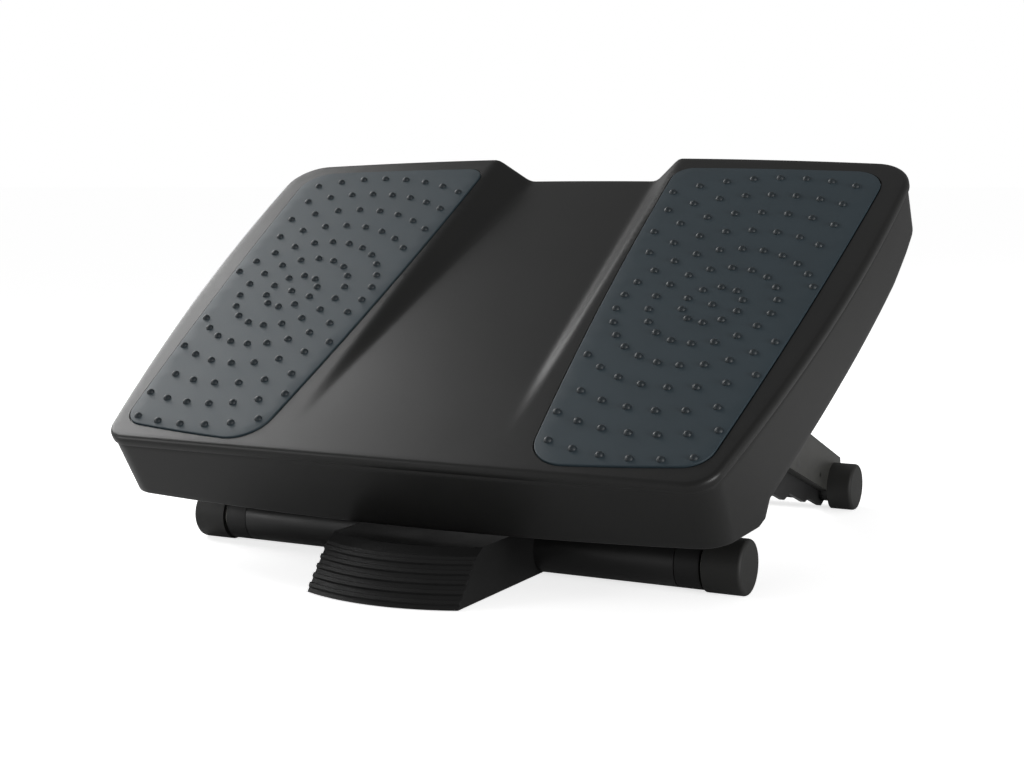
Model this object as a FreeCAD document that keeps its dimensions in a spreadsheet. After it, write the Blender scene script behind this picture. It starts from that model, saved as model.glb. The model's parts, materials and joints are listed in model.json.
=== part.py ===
import FreeCAD, Part
import math
import os

import Sketcher
from FreeCAD import Placement, Rotation, Vector

# Tilting under desk footrest, in millimetres.
# X runs across the footrest, Y from the pedal to the back, Z up from the floor.
# Two short front legs and two long rear legs meet at a shaft under the tray. The legs spread to
# lower the tray, and the tray rocks on the shaft. The model stands at its highest setting.

SIZES = {
    # Stance
    "axle_back": -88.76,
    "boot_radius": 15.9,
    "boot_flat": 0.5,
    "front_reach": 100.7,
    "front_angle": 58.7,
    "rear_reach": 233,
    "fold_travel": 35,
    "tray_tilt": 31.36,
    # Tray
    "tray_width": 451,
    "tray_front_width": 395.4,
    "tray_back_edge": 127,
    "tray_front_edge": 129,
    "tray_rear": 165.5,
    "tray_rear_bow": 11.5,
    "tray_side_bow": 6,
    "tray_front": 155.5,
    "tray_front_bow": 0.5,
    "tray_corner": 26,
    "tray_front_corner": 18,
    "tray_inset": 1.5,
    "tray_wall": 3,
    "skirt_middle": 50.2,
    "skirt_corner": 42.9,
    "skirt_lobe": 59,
    "skirt_side": 51.5,
    "skirt_waist": 44,
    "skirt_rear": 34,
    "lobe_front": -118,
    "lobe_back": -111,
    "side_start": -103.5,
    "side_end": 87,
    "rear_start": 146,
    "rim_depth": 6,
    "rim_step": 1.2,
    "rim_round": 3.2,
    "channel_half": 67,
    "channel_start": -97,
    "channel_slope": 3.9,
    "channel_wall_angle": 42,
    "pivot_back": -19.8,
    "pivot_drop": 51.9,
    "rib_wall": 2,
    "rib_depth": 9,
    "rib_inner": 88,
    "rib_outer": 194,
    "rib_reach": 120,
    "boss_radius": 5,
    "boss_height": 8,
    # Foot pads
    "pad_gap": 0.9,
    "pad_recess": 1.2,
    "pad_thickness": 2,
    "pad_front_edge": 7,
    "pad_front_slant": 8.5,
    "pad_rear_edge": 16.2,
    "pad_rear_slant": 6.8,
    "pad_bow": 1.1,
    "pad_outer_front": 11.6,
    "pad_outer_middle": 16.7,
    "pad_outer_rear": 14.5,
    "pad_inner_front": 21,
    "pad_inner_middle": 8.8,
    "pad_inner_rear": 3.5,
    "ring_across": 144.4,
    "ring_back": -1.6,
    "ring_first": 17.5,
    "ring_step": 20,
    "nub_radius": 2.4,
    "nub_height": 2,
    "nub_margin": 3.5,
    # Axles and fits
    "axle_radius": 8,
    "axle_half": 180,
    "shaft_radius": 6,
    "shaft_half": 162,
    "run_gap": 0.05,
    "side_gap": 0.5,
    # Front boots and washers
    "boot_end": 183.5,
    "boot_length": 22.9,
    "boot_round": 2.2,
    "boot_wall": 4,
    "washer_thickness": 1.2,
    "washer_radius": 13,
    # Pedal
    "tube_radius": 14.9,
    "tube_bore": 11.2,
    "tube_half": 144,
    "bush_length": 14,
    "pedal_offset": 10.25,
    "pedal_width": 95.5,
    "pedal_reach": 114.3,
    "pedal_floor_gap": 0.4,
    "pedal_top": 14,
    "pedal_face_run": 19,
    "pedal_face_rise": 25,
    "pedal_skin": 3,
    "pedal_ribs": 5,
    "pedal_rib_height": 1.2,
    "pedal_rib_base": 3.4,
    "pedal_rib_crest": 2,
    "pedal_travel": 2.6,
    "spring_wire": 1.8,
    "spring_turns": 9,
    "spring_pitch": 3.2,
    # Latch
    "arm_inner": 130,
    "arm_thickness": 6,
    "arm_height": 15,
    "rod_radius": 4,
    "rod_along": 150,
    "rod_drop": 5,
    "rod_clear": 1.2,
    "notch_slack": 1.2,
    "arm_tail": 4.5,
    "arm_bend": 40,
    # Legs
    "front_plate_inner": 151,
    "front_plate": 6,
    "front_plate_half": 12,
    "knuckle_inner": 144.5,
    "knuckle_length": 14.4,
    "front_eye": 14,
    "brace_along": 74,
    "brace_radius": 5,
    "brace_collar": 7,
    "rear_plate_inner": 142,
    "rear_plate": 7,
    "rear_eye": 17,
    "rear_tail": 25.7,
    "rear_tail_up": 21.7,
    "rear_tail_down": 4.6,
    "rear_tail_cut": 18,
    "web_thickness": 3.4,
    "web_top": 8,
    "web_step": 28.5,
    "web_waist": 20.5,
    "web_tail": 15,
    "web_end": 12,
    "web_screw_front": 50,
    "web_screw_rear": 33,
    "rear_bar_radius": 11,
    "rear_bar_wall": 1.6,
    "rear_boot_end": 165.6,
    # Brackets, clips and screws
    "spacer_length": 16,
    "bracket": 7,
    "bracket_eye": 12,
    "bracket_half": 32,
    "bracket_shoulder": 6,
    "bracket_screw_edge": 7,
    "flange_width": 15,
    "flange": 4,
    "clip_thickness": 1.2,
    "clip_radius": 9.5,
    "spacer_radius": 9,
    "screw_radius": 1.6,
    "screw_head": 3.4,
    "screw_head_height": 2.4,
    "leg_screw_head": 1.6,
    "screw_gap": 0.1,
}

doc = FreeCAD.newDocument("Footrest")
sheet = doc.addObject("Spreadsheet::Sheet", "Sizes")
for row, (name, value) in enumerate(SIZES.items(), start=1):
    sheet.set(f"A{row}", name)
    sheet.set(f"B{row}", str(value))
    sheet.setAlias(f"B{row}", name)
doc.recompute()

# Places that follow from the stance, as formulas on the sheet
AXLE_BACK = "Sizes.axle_back"
AXLE_UP = "(Sizes.boot_radius - Sizes.boot_flat)"
APEX_BACK = f"({AXLE_BACK} + Sizes.front_reach * cos(Sizes.front_angle))"
APEX_UP = f"({AXLE_UP} + Sizes.front_reach * sin(Sizes.front_angle))"
REAR_ANGLE = "(asin(Sizes.front_reach * sin(Sizes.front_angle) / Sizes.rear_reach) / 1deg)"
LOW_ANGLE = (
    "(asin(Sizes.front_reach * sin(Sizes.front_angle - Sizes.fold_travel)"
    " / Sizes.rear_reach) / 1deg)"
)
TILT = "Sizes.tray_tilt"
TRAY_BACK = f"({APEX_BACK} - Sizes.pivot_back * cos({TILT}) - Sizes.pivot_drop * sin({TILT}))"
TRAY_UP = f"({APEX_UP} - Sizes.pivot_back * sin({TILT}) + Sizes.pivot_drop * cos({TILT}))"


def number(formula):
    """The value of a formula on the sheet."""
    return float(sheet.evalExpression(str(formula)))


def size(name):
    """One size from the sheet."""
    return number("Sizes." + name)


def bind(piece, **formulas):
    """Bind properties of an object to formulas."""
    for name, formula in formulas.items():
        piece.setExpression(name, str(formula))
    return piece


def seat(piece, back="0", up="0", angle=None):
    """Put an object made about the origin at its place, turned about X."""
    turn = Rotation(Vector(1, 0, 0), 1) if angle else Rotation()
    piece.Placement = Placement(Vector(), turn)
    piece.setExpression("Placement.Base.y", back)
    piece.setExpression("Placement.Base.z", up)
    if angle:
        piece.setExpression("Placement.Rotation.Angle", angle)
    return piece


def rod(name, radius, start, length, back="0", up="0"):
    """A cylinder along X."""
    piece = doc.addObject("Part::Cylinder", name)
    piece.Placement = Placement(Vector(), Rotation(Vector(0, 1, 0), 90))
    bind(piece, Radius=radius, Height=length)
    piece.setExpression("Placement.Base.x", start)
    piece.setExpression("Placement.Base.y", back)
    piece.setExpression("Placement.Base.z", up)
    return piece


def post(name, radius, length, across, back, up):
    """A cylinder along Z."""
    piece = doc.addObject("Part::Cylinder", name)
    bind(piece, Radius=radius, Height=length)
    piece.setExpression("Placement.Base.x", across)
    piece.setExpression("Placement.Base.y", back)
    piece.setExpression("Placement.Base.z", up)
    return piece


def block(name, start, length, back, depth, up, height):
    """A box from its low corner."""
    piece = doc.addObject("Part::Box", name)
    bind(piece, Length=length, Width=depth, Height=height)
    piece.setExpression("Placement.Base.x", start)
    piece.setExpression("Placement.Base.y", back)
    piece.setExpression("Placement.Base.z", up)
    return piece


def cut(name, base, tool):
    piece = doc.addObject("Part::Cut", name)
    piece.Base = base
    piece.Tool = tool
    return piece


def fuse(name, pieces):
    piece = doc.addObject("Part::MultiFuse", name)
    piece.Shapes = pieces
    return piece


def group(name, pieces):
    """Separate solids that share one node."""
    piece = doc.addObject("Part::Compound", name)
    piece.Links = pieces
    return piece


def side(sign, inner, thickness):
    """The low X of a plate that lies between inner and inner + thickness on one side."""
    return f"({inner})" if sign > 0 else f"(-({inner}) - ({thickness}))"


def origin_plane(body, role):
    return [plane for plane in body.Origin.OriginFeatures if plane.Role == role][0]


def yz_sketch(body, name, start):
    """A sketch in the YZ plane: its X is the model's Y and its Y is the model's Z."""
    sketch = body.newObject("Sketcher::SketchObject", name)
    sketch.AttachmentSupport = (origin_plane(body, "YZ_Plane"), [""])
    sketch.MapMode = "FlatFace"
    sketch.setExpression("AttachmentOffset.Base.z", start)
    return sketch


def pin_point(sketch, item, point, name, along, up):
    """Hold one point of the sketch at two formulas."""
    sketch.addConstraint(Sketcher.Constraint("DistanceX", item, point, number(along)))
    sketch.renameConstraint(sketch.ConstraintCount - 1, name + "_along")
    sketch.setExpression("Constraints." + name + "_along", along)
    sketch.addConstraint(Sketcher.Constraint("DistanceY", item, point, number(up)))
    sketch.renameConstraint(sketch.ConstraintCount - 1, name + "_up")
    sketch.setExpression("Constraints." + name + "_up", up)


def add_polygon(sketch, points):
    """A closed outline with a formula for each coordinate."""
    places = [Vector(number(along), number(up), 0) for along, up in points]
    count = len(places)
    first = sketch.GeometryCount
    for index in range(count):
        line = Part.LineSegment(places[index], places[(index + 1) % count])
        sketch.addGeometry(line, False)
    for index in range(count):
        after = first + (index + 1) % count
        sketch.addConstraint(Sketcher.Constraint("Coincident", first + index, 2, after, 1))
    for index, (along, up) in enumerate(points):
        pin_point(sketch, first + index, 1, f"corner{first + index}", along, up)


def add_circle(sketch, along, up, radius):
    centre = Vector(number(along), number(up), 0)
    item = sketch.addGeometry(Part.Circle(centre, Vector(0, 0, 1), number(radius)), False)
    pin_point(sketch, item, 3, f"centre{item}", along, up)
    sketch.addConstraint(Sketcher.Constraint("Radius", item, number(radius)))
    sketch.renameConstraint(sketch.ConstraintCount - 1, f"radius{item}")
    sketch.setExpression(f"Constraints.radius{item}", radius)


def pad(body, sketch, length):
    feature = body.newObject("PartDesign::Pad", sketch.Name + "_pad")
    feature.Profile = sketch
    feature.setExpression("Length", length)
    sketch.Visibility = False
    return feature


def bore(body, name, holes):
    """Round holes along X through the whole body."""
    sketch = yz_sketch(body, name, "0")
    for along, up, radius in holes:
        add_circle(sketch, along, up, radius)
    feature = body.newObject("PartDesign::Pocket", name + "_pocket")
    feature.Profile = sketch
    feature.Type = "ThroughAll"
    feature.Midplane = True
    return feature


def plate(name, points, start, thickness, bosses=(), holes=()):
    """A flat plate across X with round bosses (along, up, radius, start, length) and holes."""
    body = doc.addObject("PartDesign::Body", name)
    sketch = yz_sketch(body, name + "_outline", start)
    add_polygon(sketch, points)
    pad(body, sketch, thickness)
    for index, (along, up, radius, boss_start, boss_length) in enumerate(bosses):
        disc = yz_sketch(body, f"{name}_boss{index}", boss_start)
        add_circle(disc, along, up, radius)
        pad(body, disc, boss_length)
    if holes:
        bore(body, name + "_holes", holes)
    return body


def ring(name, outer, inner, start, length, back="0", up="0"):
    """A tube or washer along X."""
    outside = rod(name + "_outside", outer, start, length, back, up)
    inside = rod(name + "_inside", inner, start, length, back, up)
    return cut(name, outside, inside)


nodes = []


def node(name, piece):
    """Give a finished piece its node name."""
    piece.Label = name
    nodes.append(piece)
    return piece


# Front axle, its boots and washers
front_axle = rod(
    "front_axle_rod", "Sizes.axle_radius", "-Sizes.axle_half", "2 * Sizes.axle_half",
    AXLE_BACK, AXLE_UP,
)
node("front_axle", front_axle)


def boot(name, sign, inner, end, bore_radius, bore_end, back, up):
    """A rubber sleeve with a closed rounded end and a small flat to stand on."""
    length = f"({end} - ({inner}))"
    body = doc.addObject("PartDesign::Body", name)
    sketch = yz_sketch(body, name + "_section", side(sign, inner, length))
    add_circle(sketch, back, up, "Sizes.boot_radius")
    feature = pad(body, sketch, length)
    doc.recompute()
    edges = []
    for index, edge in enumerate(feature.Shape.Edges, start=1):
        outer = abs(abs(edge.CenterOfMass.x) - number(end)) < 0.1
        if edge.Curve.TypeId == "Part::GeomCircle" and outer:
            edges.append(f"Edge{index}")
    fillet = body.newObject("PartDesign::Fillet", name + "_round")
    fillet.Base = (feature, edges)
    fillet.setExpression("Radius", "Sizes.boot_round")
    body.Tip = fillet
    hole = rod(
        name + "_bore", bore_radius, side(sign, inner, f"({bore_end} - ({inner}))"),
        f"{bore_end} - ({inner})", back, up,
    )
    sole = block(
        name + "_sole", side(sign, inner, length), length, f"{back} - Sizes.boot_radius",
        "2 * Sizes.boot_radius", "-Sizes.boot_radius", "Sizes.boot_radius",
    )
    return cut(name + "_shape", body, fuse(name + "_cutter", [hole, sole]))


BOOT_INNER = "(Sizes.boot_end - Sizes.boot_length)"
for sign, word in ((-1, "left"), (1, "right")):
    shape = boot(
        f"front_{word}", sign, BOOT_INNER, "Sizes.boot_end", "Sizes.axle_radius",
        "Sizes.axle_half", AXLE_BACK, AXLE_UP,
    )
    node(f"front_boot_{word}", shape)

washers = []
for sign in (-1, 1):
    washers.append(
        ring(
            f"axle_washer_{sign + 1}", "Sizes.washer_radius", "Sizes.axle_radius",
            side(sign, f"({BOOT_INNER} - Sizes.washer_thickness)", "Sizes.washer_thickness"),
            "Sizes.washer_thickness", AXLE_BACK, AXLE_UP,
        )
    )
node("axle_washers", group("axle_washer_pair", washers))

# Pedal: a sleeve on the front axle with the treadle in front and the latch arms behind
pedal_tube = ring(
    "pedal_sleeve", "Sizes.tube_radius", "Sizes.tube_bore", "-Sizes.tube_half",
    "2 * Sizes.tube_half", AXLE_BACK, AXLE_UP,
)
node("pedal_tube", pedal_tube)

bushes = []
for sign in (-1, 1):
    start = side(sign, "(Sizes.tube_half - Sizes.bush_length)", "Sizes.bush_length")
    bushes.append(
        ring(
            f"pedal_bush_{sign + 1}", "Sizes.tube_bore", "(Sizes.axle_radius + Sizes.run_gap)",
            start, "Sizes.bush_length", AXLE_BACK, AXLE_UP,
        )
    )
node("pedal_bushes", group("pedal_bush_pair", bushes))


def coil():
    """The torsion spring inside the sleeve."""
    turns = size("spring_turns")
    middle = (size("axle_radius") + size("tube_bore")) / 2
    wire = size("spring_wire") / 2
    pitch = size("spring_pitch")
    line = Part.makeHelix(pitch, pitch * turns, middle)
    ring = Part.Wire(Part.makeCircle(wire, Vector(middle, 0, 0), Vector(0, 1, 0)))
    return Part.Wire(line).makePipeShell([ring], True, True)


# Places of the ribs up the treadle's face, in rib pitches from its lower edge
RIB_START = 0.75
RIB_END = 0.65
SWEEP_SPARE = 10
DECK_BACK = -2


def treadle():
    """The ribbed treadle: a face turned about the axle's middle, a deck and two cheeks."""
    reach = size("pedal_reach")
    skin = size("pedal_skin")
    half = size("pedal_width") / 2
    low = size("pedal_floor_gap") - number(AXLE_UP)
    high = size("pedal_top")
    run = size("pedal_face_run")
    rise = size("pedal_face_rise")
    tube = size("tube_radius")
    face_top = Vector(0, run - reach, low + rise)
    shoulder = Vector(0, face_top.y + 2 * skin, high)
    outline = [Vector(0, -reach, low), face_top, shoulder]
    inside = [
        Vector(0, shoulder.y, high - skin),
        Vector(0, face_top.y + skin, face_top.z - skin),
        Vector(0, skin / math.sin(math.atan2(rise, run)) - reach, low),
    ]
    section = Part.Face(Part.makePolygon(outline + inside + [outline[0]]))
    sweep = 2 * math.degrees(math.asin(half / reach)) + SWEEP_SPARE
    face = section.copy()
    face.rotate(Vector(), Vector(0, 0, 1), -sweep / 2)
    face = face.revolve(Vector(), Vector(0, 0, 1), sweep)
    slope = Vector(0, run, rise)
    count = int(size("pedal_ribs"))
    across = Vector(0, -rise, run).normalize() * size("pedal_rib_height")
    base = Vector(slope).normalize() * size("pedal_rib_base") / 2
    crest = Vector(slope).normalize() * size("pedal_rib_crest") / 2
    rib_parts = []
    for index in range(count):
        share = (index + RIB_START) / (count - 1 + RIB_START + RIB_END)
        middle = outline[0] + slope * share
        corners = [middle - base, middle + across - crest]
        corners += [middle + across + crest, middle + base, middle - across]
        rib = Part.Face(Part.makePolygon(corners + [corners[0]]))
        rib.rotate(Vector(), Vector(0, 0, 1), -sweep / 2)
        rib_parts.append(rib.revolve(Vector(), Vector(0, 0, 1), sweep))
    front = face.fuse(rib_parts).removeSplitter()
    deck = Part.makeBox(2 * half, DECK_BACK - shoulder.y, skin)
    deck.translate(Vector(-half, shoulder.y, high - skin))
    deck = deck.common(Part.makeCylinder(-shoulder.y, reach, Vector(0, 0, -reach / 2)))
    floor = Vector(0, DECK_BACK, low)
    cheek_line = [outline[0], face_top, shoulder, Vector(0, DECK_BACK, high), floor]
    cheek_parts = []
    for start in (-half, half - skin):
        cheek = Part.Face(Part.makePolygon(cheek_line + [cheek_line[0]]))
        cheek = cheek.extrude(Vector(skin, 0, 0))
        cheek.translate(Vector(start, 0, 0))
        cheek_parts.append(cheek)
    cheeks = cheek_parts[0].fuse(cheek_parts[1])
    rim = Part.Face(Part.makePolygon(cheek_line + [cheek_line[0]]))
    rim.rotate(Vector(), Vector(0, 0, 1), -89)
    rim = rim.revolve(Vector(), Vector(0, 0, 1), 178)
    cheeks = cheeks.common(rim)
    whole = front.fuse([deck, cheeks])
    limit = Part.makeBox(
        2 * half, 2 * reach + DECK_BACK, 2 * reach, Vector(-half, -2 * reach, -reach)
    )
    whole = whole.common(limit)
    sleeve = Part.makeCylinder(tube, 4 * half, Vector(-2 * half, 0, 0), Vector(1, 0, 0))
    return whole.cut(sleeve).removeSplitter()


spring = doc.addObject("Part::Feature", "return_spring")
spring.Shape = coil()
spring.Placement = Placement(
    Vector(size("pedal_offset"), number(AXLE_BACK), number(AXLE_UP)),
    Rotation(Vector(0, 1, 0), 90),
)
node("pedal_spring", spring)
pedal = doc.addObject("Part::Feature", "treadle")
pedal.Shape = treadle()
pedal.Placement = Placement(
    Vector(size("pedal_offset"), number(AXLE_BACK), number(AXLE_UP)), Rotation()
)
node("foot_pedal", pedal)


# Latch: hooked arms on the pedal drop over a rod that crosses between the rear legs
def rod_place(share):
    """The latch rod's place from the front axle when the legs have folded by this share."""
    lean = f"(Sizes.front_angle - {share} * Sizes.fold_travel)"
    drop = f"({REAR_ANGLE} + {share} * ({LOW_ANGLE} - {REAR_ANGLE}))"
    back = (
        f"(Sizes.front_reach * cos({lean}) + Sizes.rod_along * cos({drop})"
        f" - Sizes.rod_drop * sin({drop}))"
    )
    up = (
        f"(Sizes.front_reach * sin({lean}) - Sizes.rod_along * sin({drop})"
        f" - Sizes.rod_drop * cos({drop}))"
    )
    return back, up


NOTCH_SHARES = (0, 0.5, 1)
NOTCH_HALF = "(Sizes.rod_radius + Sizes.rod_clear)"
# How much of the fold moves the rod by half a notch, and to the tooth between two notches
NOTCH_LEAD = 0.14
TOOTH_LEAD = 0.25


def arm_outline():
    """The latch arm seen from the side, with one notch for each height."""
    line = []
    for share in NOTCH_SHARES:
        back, up = rod_place(share)
        before = rod_place(max(0, share - NOTCH_LEAD))[1]
        front = f"({back} - {NOTCH_HALF} - Sizes.notch_slack)"
        rear = f"({back} + {NOTCH_HALF})"
        roof = f"({up} + {NOTCH_HALF} + {back} * sin(Sizes.pedal_travel))"
        line.append((front, f"({before} + {NOTCH_HALF} + Sizes.notch_slack)"))
        line.append((f"({front} - Sizes.notch_slack)", roof))
        line.append((rear, roof))
        line.append((rear, f"({up} + {NOTCH_HALF})"))
        if share < 1:
            tooth_back, tooth_up = rod_place(share + TOOTH_LEAD)
            line.append((tooth_back, f"({tooth_up} + {NOTCH_HALF} + Sizes.notch_slack)"))
    first_back, first_up = rod_place(NOTCH_SHARES[0])
    last_back, last_up = rod_place(NOTCH_SHARES[-1])
    tail = f"({last_back} + {NOTCH_HALF} + Sizes.arm_tail)"
    rise = f"({NOTCH_HALF} + Sizes.arm_height + Sizes.arm_tail)"
    bend = f"({first_back} - Sizes.arm_bend)"
    line.append((tail, f"({last_up} + {NOTCH_HALF})"))
    line.append((tail, f"({last_up} + {rise})"))
    line.append((f"({first_back} - Sizes.arm_tail)", f"({first_up} + {rise})"))
    line.append((bend, f"({first_up} + Sizes.arm_height)"))
    line.append(("0", "Sizes.arm_height / 2"))
    line.append(("0", "-Sizes.arm_height / 2"))
    line.append((bend, f"({first_up} - Sizes.arm_tail)"))
    return line


arm_bore = rod("arm_bore", "Sizes.tube_radius", "-Sizes.tube_half", "2 * Sizes.tube_half")
for sign, word in ((-1, "left"), (1, "right")):
    start = side(sign, "Sizes.arm_inner", "Sizes.arm_thickness")
    arm = plate(f"arm_{word}", arm_outline(), start, "Sizes.arm_thickness")
    arm = cut(f"arm_{word}_saddle", arm, arm_bore)
    seat(arm, AXLE_BACK, AXLE_UP)
    node(f"latch_arm_{word}", arm)


# Front legs on the front axle
def front_leg(word, sign):
    start = side(sign, "Sizes.front_plate_inner", "Sizes.front_plate")
    half = "Sizes.front_plate_half"
    points = [
        ("0", f"-{half}"),
        ("Sizes.front_reach", f"-{half}"),
        ("Sizes.front_reach", half),
        ("0", half),
    ]
    knuckle_start = side(sign, "Sizes.knuckle_inner", "Sizes.knuckle_length")
    bosses = [
        ("0", "0", "Sizes.tube_radius", knuckle_start, "Sizes.knuckle_length"),
        ("Sizes.front_reach", "0", "Sizes.front_eye", start, "Sizes.front_plate"),
    ]
    holes = [
        ("0", "0", "(Sizes.axle_radius + Sizes.run_gap)"),
        ("Sizes.front_reach", "0", "(Sizes.shaft_radius + Sizes.run_gap)"),
        ("Sizes.brace_along", "0", "Sizes.brace_radius"),
    ]
    body = plate(f"front_leg_{word}_body", points, start, "Sizes.front_plate", bosses, holes)
    return seat(body, AXLE_BACK, AXLE_UP, "Sizes.front_angle")


for sign, word in ((-1, "left"), (1, "right")):
    node(f"front_leg_{word}", front_leg(word, sign))

FRONT_OUTER = "(Sizes.front_plate_inner + Sizes.front_plate)"
brace = rod(
    "brace_rod", "Sizes.brace_radius", f"-{FRONT_OUTER}", f"2 * {FRONT_OUTER}",
    "Sizes.brace_along", "0",
)
node(
    "front_leg_brace",
    seat(fuse("brace_shape", [brace, rod(
        "brace_collar", "Sizes.brace_collar", "-Sizes.arm_inner / 2", "Sizes.arm_inner",
        "Sizes.brace_along", "0",
    )]), AXLE_BACK, AXLE_UP, "Sizes.front_angle"),
)


# Rear legs: a plate, and a stepped web behind its lower edge
def rear_leg(word, sign):
    start = side(sign, "Sizes.rear_plate_inner", "Sizes.rear_plate")
    points = [
        ("0", "-Sizes.rear_eye"),
        ("(Sizes.rear_reach + Sizes.rear_tail)", "-Sizes.rear_tail_down"),
        ("(Sizes.rear_reach + Sizes.rear_tail - Sizes.rear_tail_cut)", "Sizes.rear_tail_up"),
        ("0", "Sizes.rear_eye"),
    ]
    bosses = [("0", "0", "Sizes.rear_eye", start, "Sizes.rear_plate")]
    holes = [
        ("0", "0", "(Sizes.shaft_radius + Sizes.run_gap)"),
        ("Sizes.rear_reach", "0", "Sizes.rear_bar_radius"),
        ("Sizes.rod_along", "-Sizes.rod_drop", "Sizes.rod_radius"),
    ]
    for place in WEB_SCREWS:
        holes.append((f"({place})", "0", "Sizes.screw_radius"))
    body = plate(f"rear_leg_{word}_body", points, start, "Sizes.rear_plate", bosses, holes)
    return seat(body, APEX_BACK, APEX_UP, f"-{REAR_ANGLE}")


WEB_SCREWS = (
    "Sizes.rod_along - Sizes.web_screw_front",
    "Sizes.rear_reach - Sizes.web_screw_rear",
)
WEB_INNER = "(Sizes.rear_plate_inner - Sizes.web_thickness)"


def rear_web(word, sign):
    start = side(sign, WEB_INNER, "Sizes.web_thickness")
    points = [
        ("(Sizes.rod_along - 72)", "-Sizes.web_end"),
        ("(Sizes.rod_along - 54)", "(-Sizes.web_step - 2.5)"),
        ("(Sizes.rod_along + 2)", "-Sizes.web_step"),
        ("(Sizes.rod_along + 12)", "(-Sizes.web_waist - 1.5)"),
        ("(Sizes.rear_reach - 37)", "-Sizes.web_waist"),
        ("(Sizes.rear_reach - 30)", "(-Sizes.web_tail - 1.5)"),
        ("Sizes.rear_reach", "-Sizes.web_tail"),
        ("(Sizes.rear_reach + Sizes.web_end)", "-Sizes.web_top / 2"),
        ("(Sizes.rear_reach + Sizes.web_end)", "Sizes.web_top"),
        ("(Sizes.rod_along - 72)", "Sizes.web_top"),
    ]
    holes = [
        ("Sizes.rear_reach", "0", "Sizes.rear_bar_radius"),
        ("Sizes.rod_along", "-Sizes.rod_drop", "Sizes.rod_radius"),
    ]
    for place in WEB_SCREWS:
        holes.append((f"({place})", "0", "Sizes.screw_radius"))
    body = plate(f"rear_web_{word}_body", points, start, "Sizes.web_thickness", (), holes)
    return seat(body, APEX_BACK, APEX_UP, f"-{REAR_ANGLE}")


for sign, word in ((-1, "left"), (1, "right")):
    node(f"rear_leg_{word}", rear_leg(word, sign))
    node(f"stepped_web_{word}", rear_web(word, sign))

REAR_OUTER = "(Sizes.rear_plate_inner + Sizes.rear_plate)"
leg_screws = []
for sign in (-1, 1):
    for index, place in enumerate(WEB_SCREWS):
        shank_length = "(Sizes.rear_plate + Sizes.web_thickness)"
        shank = rod(
            f"leg_screw_{sign + 1}{index}_shank", "Sizes.screw_radius",
            side(sign, WEB_INNER, shank_length), shank_length, place, "0",
        )
        head = rod(
            f"leg_screw_{sign + 1}{index}_head", "Sizes.screw_head",
            side(sign, f"({WEB_INNER} - Sizes.leg_screw_head)", "Sizes.leg_screw_head"),
            "Sizes.leg_screw_head", place, "0",
        )
        leg_screws.append(fuse(f"leg_screw_{sign + 1}{index}", [shank, head]))
node(
    "leg_screws",
    seat(group("leg_screw_set", leg_screws), APEX_BACK, APEX_UP, f"-{REAR_ANGLE}"),
)

latch_rod = rod(
    "latch_rod_bar", "Sizes.rod_radius", f"-{REAR_OUTER}", f"2 * {REAR_OUTER}",
    "Sizes.rod_along", "-Sizes.rod_drop",
)
node(
    "latch_rod",
    seat(group("latch_rod_shape", [latch_rod]), APEX_BACK, APEX_UP, f"-{REAR_ANGLE}"),
)

REAR_BACK = f"({APEX_BACK} + Sizes.rear_reach * cos({REAR_ANGLE}))"
REAR_BAR_END = "(Sizes.rear_boot_end - Sizes.boot_wall)"
rear_bar = ring(
    "rear_bar_tube", "Sizes.rear_bar_radius", "(Sizes.rear_bar_radius - Sizes.rear_bar_wall)",
    f"-{REAR_BAR_END}", f"2 * {REAR_BAR_END}", REAR_BACK, AXLE_UP,
)
node("rear_bar", rear_bar)
for sign, word in ((-1, "left"), (1, "right")):
    shape = boot(
        f"rear_{word}", sign, REAR_OUTER, "Sizes.rear_boot_end", "Sizes.rear_bar_radius",
        REAR_BAR_END, REAR_BACK, AXLE_UP,
    )
    node(f"rear_boot_{word}", shape)

# Pivot: the shaft through the legs and the tray's brackets, with its spacers and clips
pivot_shaft = rod(
    "pivot_shaft_rod", "Sizes.shaft_radius", "-Sizes.shaft_half", "2 * Sizes.shaft_half",
    APEX_BACK, APEX_UP,
)
node("pivot_shaft", pivot_shaft)
BRACKET_OUTER = "(Sizes.rear_plate_inner - 2 * Sizes.side_gap - Sizes.spacer_length)"
BRACKET_INNER = f"({BRACKET_OUTER} - Sizes.bracket)"
clips = []
spacers = []
for sign in (-1, 1):
    clips.append(
        ring(
            f"pivot_clip_{sign + 1}", "Sizes.clip_radius", "Sizes.shaft_radius",
            side(sign, f"({FRONT_OUTER} + Sizes.side_gap)", "Sizes.clip_thickness"),
            "Sizes.clip_thickness", APEX_BACK, APEX_UP,
        )
    )
    spacers.append(
        ring(
            f"pivot_spacer_{sign + 1}", "Sizes.spacer_radius", "Sizes.shaft_radius",
            side(sign, f"({BRACKET_OUTER} + Sizes.side_gap)", "Sizes.spacer_length"),
            "Sizes.spacer_length", APEX_BACK, APEX_UP,
        )
    )
node("pivot_clips", group("pivot_clip_pair", clips))
node("pivot_spacers", group("pivot_spacer_pair", spacers))


# Tray, made flat about the middle of its foot surface and then tilted
def middle_half():
    """Half the tray's width beside its middle, bowed out from the line between its ends."""
    front_half = size("tray_front_width") / 2
    rear_half = size("tray_width") / 2
    share = size("tray_front_edge") / (size("tray_front_edge") + size("tray_back_edge"))
    return front_half + share * (rear_half - front_half) + size("tray_side_bow")


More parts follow.
